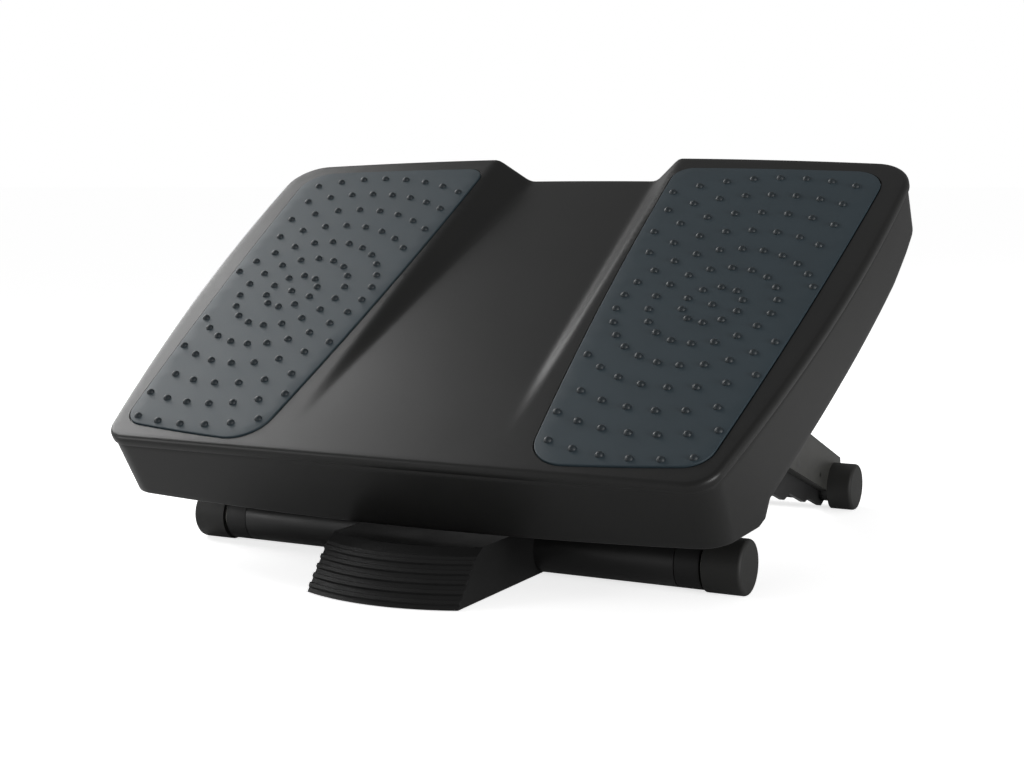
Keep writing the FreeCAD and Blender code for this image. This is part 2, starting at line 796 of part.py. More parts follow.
def tray_outline(inset, level):
    """The tray's outline: bowed edges that meet in corners, before these are rounded."""
    back_edge = size("tray_back_edge")
    front_edge = -size("tray_front_edge")
    circle = Part.Arc(
        Vector(size("tray_front_width") / 2 - inset, front_edge, 0),
        Vector(middle_half() - inset, 0, 0),
        Vector(size("tray_width") / 2 - inset, back_edge, 0),
    ).toShape().Curve

    def side_at(back):
        """Half the tray's width at this place."""
        rise = back - circle.Center.y
        return circle.Center.x + math.sqrt(circle.Radius**2 - rise**2)

    rear = size("tray_rear") - inset
    front = inset - size("tray_front")
    rear_corner = rear - size("tray_rear_bow")
    front_corner = front + size("tray_front_bow")
    middle = (rear_corner + front_corner) / 2
    corners = [
        Vector(-side_at(front_corner), front_corner, level),
        Vector(side_at(front_corner), front_corner, level),
        Vector(side_at(rear_corner), rear_corner, level),
        Vector(-side_at(rear_corner), rear_corner, level),
    ]
    middles = [
        Vector(0, front, level),
        Vector(side_at(middle), middle, level),
        Vector(0, rear, level),
        Vector(-side_at(middle), middle, level),
    ]
    return arc_loop(corners, middles)


def arc_loop(corners, middles):
    """A closed wire of four arcs."""
    edges = []
    for index in range(4):
        arc = Part.Arc(corners[index], middles[index], corners[(index + 1) % 4])
        edges.append(arc.toShape())
    return Part.Wire(edges)


def round_corners(wire, radii, height):
    """A prism on the wire with each upright edge rounded."""
    prism = Part.Face(wire).extrude(Vector(0, 0, height))
    starts = [vertex.Point for vertex in wire.OrderedVertexes]
    for start, radius in zip(starts, radii):
        chosen = []
        for edge in prism.Edges:
            centre = edge.CenterOfMass
            upright = abs(edge.tangentAt(edge.FirstParameter).z) > 0.9
            near = math.hypot(centre.x - start.x, centre.y - start.y) < 1
            if upright and near:
                chosen.append(edge)
        prism = prism.makeFillet(radius, chosen)
    return prism


def tray_radii(inset):
    """The radii of the outline's corners, front pair first."""
    front = size("tray_front_corner") - inset
    rear = size("tray_corner") - inset
    return [front, front, rear, rear]


def outline_wire(prism, level):
    """The outer wire of the prism's flat end at a level."""
    for face in prism.Faces:
        flat = face.Surface.TypeId == "Part::GeomPlane"
        if flat and abs(face.CenterOfMass.z - level) < 1e-6 and abs(face.normalAt(0, 0).z) > 0.9:
            return face.OuterWire
    raise RuntimeError("no flat end at this level")


def skirt(top_inset, bottom_inset, top, bottom):
    """A drafted block between two outlines."""
    wires = []
    for inset, level in ((top_inset, top), (bottom_inset, bottom)):
        prism = round_corners(tray_outline(inset, level), tray_radii(top_inset), 1)
        wires.append(outline_wire(prism, level))
    return Part.makeLoft(wires, True, True)


# How far the cutters reach past the tray
SPARE = 30
# The foot pads' corner radii, from the inner front corner round to the inner rear one
PAD_RADII = (22, 16, 20, 12)


def below_front():
    """What is cut away under the front edge, from its bowed lower line back to the lobes."""
    half = size("tray_front_width") / 2
    far = size("tray_width")
    start = -size("tray_front") - SPARE
    lobe = size("lobe_front")
    edge = -size("tray_front")
    reach = (lobe - start) / (lobe - edge)

    def depth(share):
        """The lower line's depth at the cutter's front plane."""
        at_edge = size("skirt_middle") + share * (size("skirt_corner") - size("skirt_middle"))
        return size("skirt_lobe") + reach * (at_edge - size("skirt_lobe"))

    deep = -far
    wires = []
    for back, middle, end in ((start, depth(0), depth(1)), (lobe, size("skirt_lobe"), None)):
        low = middle if end is None else end
        left = Vector(-half, back, -low)
        right = Vector(half, back, -low)
        top = Part.LineSegment(left, right).toShape()
        if end is not None:
            top = Part.Arc(left, Vector(0, back, -middle), right).toShape()
        outline = [
            Vector(half, back, -low), Vector(far, back, -low), Vector(far, back, deep),
            Vector(-far, back, deep), Vector(-far, back, -low), Vector(-half, back, -low),
        ]
        edges = [top]
        for index in range(len(outline) - 1):
            edges.append(Part.LineSegment(outline[index], outline[index + 1]).toShape())
        wires.append(Part.Wire(edges))
    return Part.makeLoft(wires, True, True)


# How far the skirt's lower edge bows up along the sides and down towards the rear
SIDE_BOW = 1.2
REAR_BOW = 1


def below_sides():
    """What is cut away under the sides and the rear, from the lobes back."""
    far = size("tray_width")
    points = [
        Vector(0, size("lobe_front"), -size("skirt_lobe")),
        Vector(0, size("lobe_back"), -size("skirt_lobe")),
        Vector(0, size("side_start"), -size("skirt_side")),
        Vector(0, size("side_end"), -size("skirt_waist")),
        Vector(0, size("rear_start"), -size("skirt_rear") - 1),
        Vector(0, size("tray_rear") + SPARE, -size("skirt_rear")),
        Vector(0, size("tray_rear") + SPARE, -far),
        Vector(0, size("lobe_front"), -far),
    ]
    bows = {2: SIDE_BOW, 3: -REAR_BOW}
    edges = []
    for index, point in enumerate(points):
        after = points[(index + 1) % len(points)]
        if index in bows:
            middle = (point + after) / 2 + Vector(0, 0, bows[index])
            edges.append(Part.Arc(point, middle, after).toShape())
        else:
            edges.append(Part.LineSegment(point, after).toShape())
    face = Part.Face(Part.Wire(edges))
    face.translate(Vector(-far, 0, 0))
    return face.extrude(Vector(2 * far, 0, 0))


def channel(extra):
    """The valley between the foot pads, widened and deepened by the shell wall."""
    slope = math.tan(math.radians(size("channel_slope")))
    wall = math.radians(size("channel_wall_angle"))
    start = size("channel_start") - extra / slope
    far = size("tray_rear") + 30
    above = 20
    deep = (far - start) * slope
    ramp_line = [
        Vector(0, start, 0),
        Vector(0, far, -deep),
        Vector(0, far, above),
        Vector(0, start, above),
    ]
    span = 400
    ramp = Part.Face(Part.makePolygon(ramp_line + [ramp_line[0]]))
    ramp = ramp.extrude(Vector(span, 0, 0))
    ramp.translate(Vector(-span / 2, 0, 0))
    half = size("channel_half") + extra * math.tan(wall / 2)
    low = 60
    trough_line = [
        Vector(half + above / math.tan(wall), 0, above),
        Vector(half - low / math.tan(wall), 0, -low),
        Vector(-half + low / math.tan(wall), 0, -low),
        Vector(-half - above / math.tan(wall), 0, above),
    ]
    if trough_line[1].x < 1:
        trough_line[1] = Vector(1, 0, -(half - 1) * math.tan(wall))
        trough_line[2] = Vector(-1, 0, -(half - 1) * math.tan(wall))
    trough = Part.Face(Part.makePolygon(trough_line + [trough_line[0]]))
    trough = trough.extrude(Vector(0, 4 * far, 0))
    trough.translate(Vector(0, -2 * far, 0))
    return ramp.common(trough)


def pad_prism(sign, grow, low, high):
    """A foot pad's outline between two levels, grown by a gap."""
    front = size("tray_front") - size("pad_front_edge") + grow
    rear = size("tray_rear") - size("pad_rear_edge") + grow
    inner_front = size("channel_half") + size("pad_inner_front") - grow
    inner_middle = size("channel_half") + size("pad_inner_middle") - grow
    inner_rear = size("channel_half") + size("pad_inner_rear") - grow
    outer_front = size("tray_front_width") / 2 - size("pad_outer_front") + grow
    outer_middle = middle_half() - size("pad_outer_middle") + grow
    outer_rear = size("tray_width") / 2 - size("pad_outer_rear") + grow
    front_slant = size("pad_front_slant")
    rear_slant = size("pad_rear_slant")
    bow = size("pad_bow")
    corners = [
        Vector(sign * inner_front, -front, low),
        Vector(sign * outer_front, front_slant - front, low),
        Vector(sign * outer_rear, rear - rear_slant, low),
        Vector(sign * inner_rear, rear, low),
    ]
    middles = [
        Vector(sign * (inner_front + outer_front) / 2, front_slant / 2 - front - bow, low),
        Vector(sign * outer_middle, 0, low),
        Vector(sign * (inner_rear + outer_rear) / 2, rear - rear_slant / 2 + bow, low),
        Vector(sign * inner_middle, 0, low),
    ]
    radii = [radius + grow for radius in PAD_RADII]
    return round_corners(arc_loop(corners, middles), radii, high - low)


def boss_places():
    """Where the bracket screws stand, on both sides."""
    across = number(BRACKET_INNER) - size("flange_width") / 2
    reach = size("bracket_half") - size("bracket_screw_edge")
    middle = size("pivot_back")
    return [(sign * across, middle + step) for sign in (-1, 1) for step in (-reach, reach)]


def tray_shell():
    wall = size("tray_wall")
    rim = size("rim_depth")
    step = size("rim_step")
    inset = size("tray_inset")
    deep = -size("skirt_lobe") - 1
    rim_prism = round_corners(tray_outline(0, -rim), tray_radii(0), rim)
    round_edges = []
    for edge in rim_prism.Edges:
        if abs(edge.CenterOfMass.z) < 1e-6:
            round_edges.append(edge)
    rim_prism = rim_prism.makeFillet(size("rim_round"), round_edges)
    outer = rim_prism.fuse(skirt(step, inset, -rim, deep))
    outer = outer.cut(channel(0))
    inner = skirt(wall + step, wall + inset, -wall, deep - 1).cut(channel(wall))
    shell = outer.cut(inner)
    pads = []
    for sign in (-1, 1):
        pads.append(pad_prism(sign, size("pad_gap"), -size("pad_recess"), size("pad_recess")))
    shell = shell.cut(pads)
    rib_inner = size("rib_inner")
    rib_outer = size("rib_outer")
    reach = size("rib_reach")
    thick = size("rib_wall")
    depth = size("rib_depth")
    ribs = []
    for sign in (-1, 1):
        for across in (rib_inner, (rib_inner + rib_outer) / 2, rib_outer):
            rib = Part.makeBox(thick, 2 * reach, depth)
            rib.translate(Vector(sign * across - thick / 2, -reach, -wall - depth))
            ribs.append(rib)
        for back in (-reach, reach / 2, reach):
            rib = Part.makeBox(rib_outer - rib_inner, thick, depth)
            start = rib_inner if sign > 0 else -rib_outer
            rib.translate(Vector(start, back - thick / 2, -wall - depth))
            ribs.append(rib)
    bosses = []
    holes = []
    for across, back in boss_places():
        foot = Vector(across, back, -wall - size("boss_height"))
        bosses.append(Part.makeCylinder(size("boss_radius"), size("boss_height"), foot))
        holes.append(Part.makeCylinder(size("screw_radius"), size("boss_height") - 1, foot))
    shell = shell.fuse(ribs + bosses).cut(holes)
    return shell.cut([below_front(), below_sides()]).removeSplitter()


def place_tray(piece):
    piece.Placement = Placement(
        Vector(0, number(TRAY_BACK), number(TRAY_UP)), Rotation(Vector(1, 0, 0), number(TILT))
    )
    return piece


shell = doc.addObject("Part::Feature", "tray_shape")
shell.Shape = tray_shell()
node("tray_shell", place_tray(shell))


# How many nubs each ring has, from the innermost
RING_COUNTS = (10, 18, 26, 30, 36, 45, 50)


def nub_places(sign, prism, level):
    """Rings of nubs about the pad's middle, kept clear of its edge."""
    outline = outline_wire(prism, level)
    face = Part.Face(outline)
    margin = size("nub_radius") + size("nub_margin")
    middle = Vector(sign * size("ring_across"), size("ring_back"), level)
    places = [middle]
    for step, count in enumerate(RING_COUNTS):
        radius = size("ring_first") + step * size("ring_step")
        for index in range(count):
            angle = math.pi / 2 + 2 * math.pi * index / count
            places.append(middle + Vector(math.cos(angle), math.sin(angle), 0) * radius)
    kept = []
    for place in places:
        if not face.isInside(place, 0.01, True):
            continue
        if outline.distToShape(Part.Vertex(place))[0] >= margin:
            kept.append(place)
    return kept


def foot_pad(sign):
    """A rubber pad with low domed nubs."""
    low = -size("pad_recess")
    high = low + size("pad_thickness")
    prism = pad_prism(sign, 0, low, high)
    radius = size("nub_radius")
    rise = size("nub_height")
    ball = (radius * radius + rise * rise) / (2 * rise)
    nubs = []
    for place in nub_places(sign, prism, low):
        dome = Part.makeSphere(ball, Vector(place.x, place.y, high + rise - ball))
        lens = Part.makeCylinder(radius + 1, rise, Vector(place.x, place.y, high))
        nubs.append(dome.common(lens))
    return prism.fuse(nubs)


for sign, word in ((-1, "left"), (1, "right")):
    mat = doc.addObject("Part::Feature", f"pad_{word}")
    mat.Shape = foot_pad(sign)
    node(f"foot_pad_{word}", place_tray(mat))


# Brackets under the tray
def bracket_outline():
    top = "-(Sizes.tray_wall + Sizes.boss_height)"
    centre = "Sizes.pivot_back"
    return [
        (f"({centre} - Sizes.bracket_half)", top),
        (f"({centre} - Sizes.bracket_half)", f"({top} - Sizes.bracket_shoulder)"),
        (f"({centre} - Sizes.bracket_eye)", "-Sizes.pivot_drop"),
        (f"({centre} + Sizes.bracket_eye)", "-Sizes.pivot_drop"),
        (f"({centre} + Sizes.bracket_half)", f"({top} - Sizes.bracket_shoulder)"),
        (f"({centre} + Sizes.bracket_half)", top),
    ]


def tray_bracket(word, sign):
    start = side(sign, BRACKET_INNER, "Sizes.bracket")
    eye = ("Sizes.pivot_back", "-Sizes.pivot_drop", "Sizes.bracket_eye", start, "Sizes.bracket")
    hole = ("Sizes.pivot_back", "-Sizes.pivot_drop", "(Sizes.shaft_radius + Sizes.run_gap)")
    name = f"bracket_{word}"
    web = plate(name, bracket_outline(), start, "Sizes.bracket", [eye], [hole])
    flange_low = "-(Sizes.tray_wall + Sizes.boss_height + Sizes.flange)"
    flange = block(
        name + "_flange",
        side(sign, f"({BRACKET_INNER} - Sizes.flange_width)", "Sizes.flange_width"),
        "Sizes.flange_width", "(Sizes.pivot_back - Sizes.bracket_half)",
        "2 * Sizes.bracket_half", flange_low, "Sizes.flange",
    )
    across = f"{sign} * ({BRACKET_INNER} - Sizes.flange_width / 2)"
    holes = []
    for step in (-1, 1):
        back = f"(Sizes.pivot_back + {step} * (Sizes.bracket_half - Sizes.bracket_screw_edge))"
        holes.append(
            post(
                f"{name}_hole{step + 1}", "(Sizes.screw_radius + Sizes.screw_gap)", "Sizes.flange",
                across, back, flange_low,
            )
        )
    shape = cut(name + "_shape", fuse(name + "_whole", [web, flange]), fuse(name + "_cut", holes))
    return seat(shape, TRAY_BACK, TRAY_UP, TILT)


for sign, word in ((-1, "left"), (1, "right")):
    node(f"tray_bracket_{word}", tray_bracket(word, sign))

screws = []
FLANGE_LOW = "-(Sizes.tray_wall + Sizes.boss_height + Sizes.flange)"
for sign in (-1, 1):
    for step in (-1, 1):
        across = f"{sign} * ({BRACKET_INNER} - Sizes.flange_width / 2)"
        back = f"(Sizes.pivot_back + {step} * (Sizes.bracket_half - Sizes.bracket_screw_edge))"
        name = f"bracket_screw_{sign + 1}{step + 1}"
        shank = post(
            name + "_shank", "Sizes.screw_radius", "(Sizes.flange + Sizes.boss_height - 2)",
            across, back, FLANGE_LOW,
        )
        head = post(
            name + "_head", "Sizes.screw_head", "Sizes.screw_head_height", across, back,
            f"({FLANGE_LOW} - Sizes.screw_head_height)",
        )
        screws.append(fuse(name, [shank, head]))
node("bracket_screws", seat(group("bracket_screw_set", screws), TRAY_BACK, TRAY_UP, TILT))

doc.recompute()

# Every object must be sound before anything is written
faults = []
for item in doc.Objects:
    if "Invalid" in item.State or "Error" in item.State:
        faults.append(item.Label)
for piece in nodes:
    if piece.Shape.isNull() or not piece.Shape.isValid():
        faults.append(piece.Label)
if faults:
    raise RuntimeError("not sound: " + ", ".join(faults))

os.makedirs("parts", exist_ok=True)
box = FreeCAD.BoundBox()
for piece in nodes:
    piece.Shape.exportStep(f"parts/{piece.Label}.step")
    box.add(piece.Shape.BoundBox)
print(f"{len(nodes)} nodes, box {box}")
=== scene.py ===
import json
import math

import bmesh
import bpy
import numpy as np
from mathutils import Matrix, Vector
from mathutils.geometry import delaunay_2d_cdt


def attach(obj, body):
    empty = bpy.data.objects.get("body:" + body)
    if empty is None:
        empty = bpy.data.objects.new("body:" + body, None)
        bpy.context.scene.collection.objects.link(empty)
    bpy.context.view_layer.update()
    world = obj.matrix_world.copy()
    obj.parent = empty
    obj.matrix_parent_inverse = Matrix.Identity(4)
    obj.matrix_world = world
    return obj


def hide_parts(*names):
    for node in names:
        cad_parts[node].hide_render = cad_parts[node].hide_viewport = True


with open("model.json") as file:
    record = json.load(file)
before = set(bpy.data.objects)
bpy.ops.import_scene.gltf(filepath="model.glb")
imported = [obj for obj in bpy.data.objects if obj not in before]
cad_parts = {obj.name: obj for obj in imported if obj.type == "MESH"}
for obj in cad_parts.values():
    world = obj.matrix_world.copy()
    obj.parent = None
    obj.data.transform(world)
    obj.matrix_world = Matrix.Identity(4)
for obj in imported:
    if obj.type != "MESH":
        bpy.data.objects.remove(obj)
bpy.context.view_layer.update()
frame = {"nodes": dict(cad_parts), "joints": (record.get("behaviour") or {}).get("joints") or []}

MM = 0.001

# The tray: sizes in millimetres, most of them the part's own, and angles in radians
TRAY_TILT = math.radians(31.36)
PIVOT_BACK = -19.8
PIVOT_DROP = 51.9
TRAY_WIDTH = 451
TRAY_FRONT_WIDTH = 395.4
TRAY_BACK_EDGE = 127
TRAY_FRONT_EDGE = 129
TRAY_SIDE_BOW = 6
MIDDLE_SHARE = TRAY_FRONT_EDGE / (TRAY_FRONT_EDGE + TRAY_BACK_EDGE)
TRAY_MIDDLE_WIDTH = (
    TRAY_FRONT_WIDTH + MIDDLE_SHARE * (TRAY_WIDTH - TRAY_FRONT_WIDTH) + 2 * TRAY_SIDE_BOW
)
TRAY_REAR = 165.5
TRAY_REAR_BOW = 11.5
TRAY_FRONT = 155.5
TRAY_FRONT_BOW = 0.5
TRAY_CORNER = 26
TRAY_FRONT_CORNER = 18
TRAY_INSET = 1.5
TRAY_WALL = 3
TRAY_SIDE_POINTS = (100, 200, 170, 200)
TRAY_CORNER_POINTS = 16
UNDERSIDE_CORNER = 1
SKIRT_MIDDLE = 50.2
SKIRT_CORNER = 42.9
SKIRT_LOBE = 59
SKIRT_OUTER_ROUND = 1
SKIRT_INNER_ROUND = 0.8
SKIRT_ROUND_POINTS = 4
SKIRT_RINGS = 12
# The lower edge's depth below the top, from the lobes to the rear
SKIRT_BACK = (-118, -111, -103.5, -80, -50, -10, 40, 87, 116, 146, 200)
SKIRT_DEPTH = (59, 59, 51.5, 49.7, 48.1, 46.5, 45.1, 44, 40.6, 35, 34)
RIM_DEPTH = 6
RIM_STEP = 1.2
RIM_ROUND = 3.2
RIM_ROUND_POINTS = 8
RIM_GROOVE = 0.7
# Rings round the rim's lower edge: inset, and height above that edge
RIM_EDGE = ((0, 0.5), (0.15, 0.12), (0.5, 0), (RIM_STEP + 0.3, -0.1), (RIM_STEP, -RIM_GROOVE))
CHANNEL_HALF = 67
CHANNEL_START = -97
CHANNEL_SLOPE = math.tan(math.radians(3.9))
CHANNEL_WALL = math.tan(math.radians(42))
CHANNEL_FOOT_BLEND = 3.2
CHANNEL_CREST_BLEND = 2.4
RIB_WALL = 2
RIB_DEPTH = 9
RIB_INNER = 88
RIB_OUTER = 194
RIB_REACH = 120
RIB_SINK = 0.1
BOSS_RADIUS = 5
BOSS_HEIGHT = 8
BOSS_ACROSS = 110.5
BOSS_STEP = 25
BOSS_SIDES = 32

# The pads and their nubs, in millimetres
PAD_GAP = 0.9
PAD_RECESS = 1.2
PAD_THICKNESS = 2
PAD_FRONT_EDGE = 7
PAD_FRONT_SLANT = 8.5
PAD_REAR_EDGE = 16.2
PAD_REAR_SLANT = 6.8
PAD_BOW = 1.1
PAD_OUTER = (11.6, 16.7, 14.5)
PAD_INNER = (21, 8.8, 3.5)
PAD_RADII = (22, 16, 20, 12)
PAD_SIDE_POINTS = (30, 60, 30, 60)
PAD_CORNER_POINTS = 12
PAD_UNDER_ROUND = 0.3
PAD_TOP_ROUND = 0.5
PAD_ROUND_POINTS = 5
PAD_LIP = 0.1
RING_ACROSS = 144.4
RING_BACK = -1.6
RING_FIRST = 17.5
RING_STEP = 20
RING_COUNTS = (10, 18, 26, 30, 36, 45, 50)
NUB_RADIUS = 2.4
NUB_HEIGHT = 2
NUB_MARGIN = 1.6
NUB_SINK = 0.02
NUB_STEPS = 6
NUB_SIDES = 20

# Meshes: grids and radii in millimetres, weld gaps in metres, angles in degrees
TOP_GRID = 3.2
UNDERSIDE_GRID = 6
PAD_GRID = 7
GRID_MARGIN = 0.6
LEAST_RADIUS = 0.6
POINT_TOLERANCE = 1e-4
WELD_GAP = 0.00002
NUB_WELD_GAP = 0.0000005
TRAY_SHARP = 32
PAD_SHARP = 40
BROKEN_EDGE_SHARP = 32

# Surfaces
GRAIN_HEIGHT = 0.0002
BLOTCH_SCALE = 35
BLOTCH_TONES = (0.3, 0.7)
BLOTCH_GLOSS = (0.25, 0.75)
STEEL_MARKS = (2500, 60, 60)
STEEL_ROUGHNESS = (0.26, 0.44)

# Floor and background, with lengths in metres
FLOOR_HALF = 40
FLOOR_GAP = 0.0002
FLOOR_COLOUR = (0.9, 0.9, 0.9, 1)
FLOOR_GLOW = 0.72
WORLD_LIGHT = 0.3
WORLD_SEEN = 1.0
WHITE = (1, 1, 1, 1)

# Camera, with its place in metres, its lens in millimetres and its angles in radians
CAMERA_PLACE = (0.4939, -0.9712, 0.2276)
CAMERA_TURN = math.radians(27.381)
CAMERA_DIP = math.radians(6.796)
CAMERA_ROLL = math.radians(-0.148)
CAMERA_LENS = 60.59
CAMERA_SENSOR = 36

joints = {joint["name"]: joint for joint in frame["joints"]}
APEX = Vector(joints["tilt"]["pos_m"])
TILT_TURN = Matrix.Rotation(TRAY_TILT, 4, "X")
TRAY_ORIGIN = APEX - TILT_TURN @ Vector((0, PIVOT_BACK * MM, -PIVOT_DROP * MM))
TRAY_FRAME = Matrix.Translation(TRAY_ORIGIN) @ TILT_TURN


# Mesh helpers


def make_mesh(name, points, faces, place):
    """A smooth mesh object from points in millimetres, put in place."""
    mesh = bpy.data.meshes.new(name)
    mesh.from_pydata([tuple(c * MM for c in point) for point in points], [], faces)
    mesh.validate()
    mesh.transform(place)
    mesh.polygons.foreach_set("use_smooth", [True] * len(mesh.polygons))
    mesh.update()
    piece = bpy.data.objects.new(name, mesh)
    bpy.context.scene.collection.objects.link(piece)
    return piece


def join_data(parts):
    """Points and faces of several (points, faces) pairs as one pair."""
    points = []
    faces = []
    for part_points, part_faces in parts:
        start = len(points)
        points.extend(part_points)
        faces.extend([tuple(index + start for index in face) for face in part_faces])
    return points, faces


def circle_through(a, b, c):
    """Centre and radius of the circle through three points."""
    ax, ay = a
    bx, by = b
    cx, cy = c
    d = 2 * (ax * (by - cy) + bx * (cy - ay) + cx * (ay - by))
    a2, b2, c2 = ax * ax + ay * ay, bx * bx + by * by, cx * cx + cy * cy
    x = (a2 * (by - cy) + b2 * (cy - ay) + c2 * (ay - by)) / d
    y = (a2 * (cx - bx) + b2 * (ax - cx) + c2 * (bx - ax)) / d
    return np.array([x, y]), math.hypot(ax - x, ay - y)


def circles_meet(first, second, near):
    """The point where two circles meet that is nearer to a place."""
    (p, r), (q, s) = first, second
    gap = q - p
    d = np.hypot(*gap)
    along = (r * r - s * s + d * d) / (2 * d)
    rise = math.sqrt(max(r * r - along * along, 0))
    middle = p + gap * along / d
    across = np.array([-gap[1], gap[0]]) * rise / d
    options = [middle + across, middle - across]
    return min(options, key=lambda point: np.hypot(*(point - near)))


def rounded_outline(corners, middles, radii, inset, side_counts, corner_count):
    """A closed outline of four bowed sides with round corners, moved inward by an inset."""
    corners = [np.array(corner, float) for corner in corners]
    arcs = []
    for index in range(4):
        centre, radius = circle_through(
            corners[index], middles[index], corners[(index + 1) % 4]
        )
        arcs.append((centre, radius))
    shrunk = [(centre, radius - inset) for centre, radius in arcs]
    fillets = []
    for index in range(4):
        before, after = shrunk[index - 1], shrunk[index]
        radius = max(radii[index] - inset, LEAST_RADIUS)
        inner = [(centre, size - radius) for centre, size in (before, after)]
        middle = circles_meet(inner[0], inner[1], corners[index])
        ends = []
        for centre, size in (before, after):
            way = (middle - centre) / np.hypot(*(middle - centre))
            ends.append(centre + way * size)
        fillets.append((middle, radius, ends[0], ends[1]))
    outline = []
    for index in range(4):
        middle, radius, start, end = fillets[index]
        outline.extend(arc_points(middle, start, end, corner_count))
        after = fillets[(index + 1) % 4]
        centre = shrunk[index][0]
        outline.extend(arc_points(centre, end, after[2], side_counts[index]))
    return np.array(outline)


def arc_points(centre, start, end, count):
    """Points from start towards end round a centre, the short way, without the end."""
    a = math.atan2(start[1] - centre[1], start[0] - centre[0])
    b = math.atan2(end[1] - centre[1], end[0] - centre[0])
    turn = (b - a + math.pi) % (2 * math.pi) - math.pi
    radius = np.hypot(*(start - centre))
    angles = a + turn * np.arange(count) / count
    return [centre + radius * np.array([math.cos(t), math.sin(t)]) for t in angles]


def inside(points, outline):
    """Which points lie inside a closed outline."""
    x, y = points[:, 0][:, None], points[:, 1][:, None]
    ax, ay = outline[:, 0][None, :], outline[:, 1][None, :]
    after = np.roll(outline, -1, axis=0)
    bx, by = after[:, 0][None, :], after[:, 1][None, :]
    crosses = (ay > y) != (by > y)
    with np.errstate(divide="ignore", invalid="ignore"):
        at = ax + (y - ay) * (bx - ax) / (by - ay)
    return (np.sum(crosses & (x < at), axis=1) % 2) == 1


def distance_to(points, outline):
    """Distance from each point to a closed outline."""
    best = np.full(len(points), 1e9)
    after = np.roll(outline, -1, axis=0)
    for a, b in zip(outline, after):
        along = b - a
        share = np.clip(((points - a) @ along) / max(along @ along, 1e-9), 0, 1)
        gap = points - (a + share[:, None] * along)
        best = np.minimum(best, np.hypot(gap[:, 0], gap[:, 1]))
    return best


def fill_between(outer, holes, step):
    """Triangles that fill an outline around its holes, with a grid of points between."""
    low, high = outer.min(0), outer.max(0)
    xs = np.arange(low[0], high[0], step)
    ys = np.arange(low[1], high[1], step)
    grid = np.array([(x + (j % 2) * step / 2, y) for j, y in enumerate(ys) for x in xs])
    keep = inside(grid, outer) & (distance_to(grid, outer) > step * GRID_MARGIN)
    grid = grid[keep]
    for hole in holes:
        keep = ~inside(grid, hole) & (distance_to(grid, hole) > step * GRID_MARGIN)
        grid = grid[keep]
    loops = [outer] + list(holes)
    points = [tuple(p) for loop in loops for p in loop]
    edges = []
    start = 0
    for loop in loops:
        count = len(loop)
        edges.extend([(start + i, start + (i + 1) % count) for i in range(count)])
        start += count
    points.extend([tuple(p) for p in grid])
    verts = [Vector(p) for p in points]
    result = delaunay_2d_cdt(verts, edges, [], 0, POINT_TOLERANCE)
    flat = np.array([tuple(v) for v in result[0]])
    triangles = [tuple(face) for face in result[2]]
    centres = np.array([flat[list(face)].mean(0) for face in triangles])
    keep = inside(centres, outer)
    for hole in holes:
        keep &= ~inside(centres, hole)
    return flat, [face for face, wanted in zip(triangles, keep) if wanted]


def bridge(count, first, second):
    """Quads between two rings of the same count of points."""
    faces = []
    for index in range(count):
        after = (index + 1) % count
        faces.append((first + index, second + index, second + after, first + after))
    return faces


def rings_data(rings):
    """Points and faces of rings of (count, 3) points joined in order."""
    count = len(rings[0])
    points = [tuple(point) for ring in rings for point in ring]
    faces = []
    for index in range(len(rings) - 1):
        faces.extend(bridge(count, index * count, (index + 1) * count))
    return points, faces


def level_ring(outline, level):
    """Points of an outline, all at one level."""
    return np.column_stack([outline, np.full(len(outline), float(level))])


def circle_ring(x, y, radius, level, sides):
    """Points of a level circle round a centre."""
    angles = np.linspace(0, 2 * math.pi, sides, endpoint=False)
    circle = np.column_stack([x + radius * np.cos(angles), y + radius * np.sin(angles)])
    return level_ring(circle, level)


def weld(piece, gap):
    """Joins points that lie on each other and turns the faces outward."""
    bm = bmesh.new()
    bm.from_mesh(piece.data)
    bmesh.ops.remove_doubles(bm, verts=bm.verts, dist=gap)
    bmesh.ops.dissolve_degenerate(bm, edges=bm.edges, dist=gap)
    bmesh.ops.recalc_face_normals(bm, faces=bm.faces)
    bm.to_mesh(piece.data)
    bm.free()
    piece.data.update()


def smooth_by_angle(piece, degrees):
    """Shades smoothly except across sharp edges."""
    limit = math.radians(degrees)
    bm = bmesh.new()
    bm.from_mesh(piece.data)
    for edge in bm.edges:
        sharp = len(edge.link_faces) == 2 and edge.calc_face_angle(0) > limit
        edge.smooth = not sharp
    for face in bm.faces:
        face.smooth = True
    bm.to_mesh(piece.data)
    bm.free()


def arc_profile(centre, radius, start, end, count):
    """Points on an arc of a profile, with angles in degrees."""
    angles = np.radians(np.linspace(start, end, count))
    return [(centre[0] + radius * math.cos(t), centre[1] + radius * math.sin(t)) for t in angles]


# Materials


def new_material(name):
    """A material with its nodes, its links and its shader."""
    material = bpy.data.materials.new(name)
    material.use_nodes = True
    nodes = material.node_tree.nodes
    shader = nodes["Principled BSDF"]
    return material, nodes, material.node_tree.links, shader


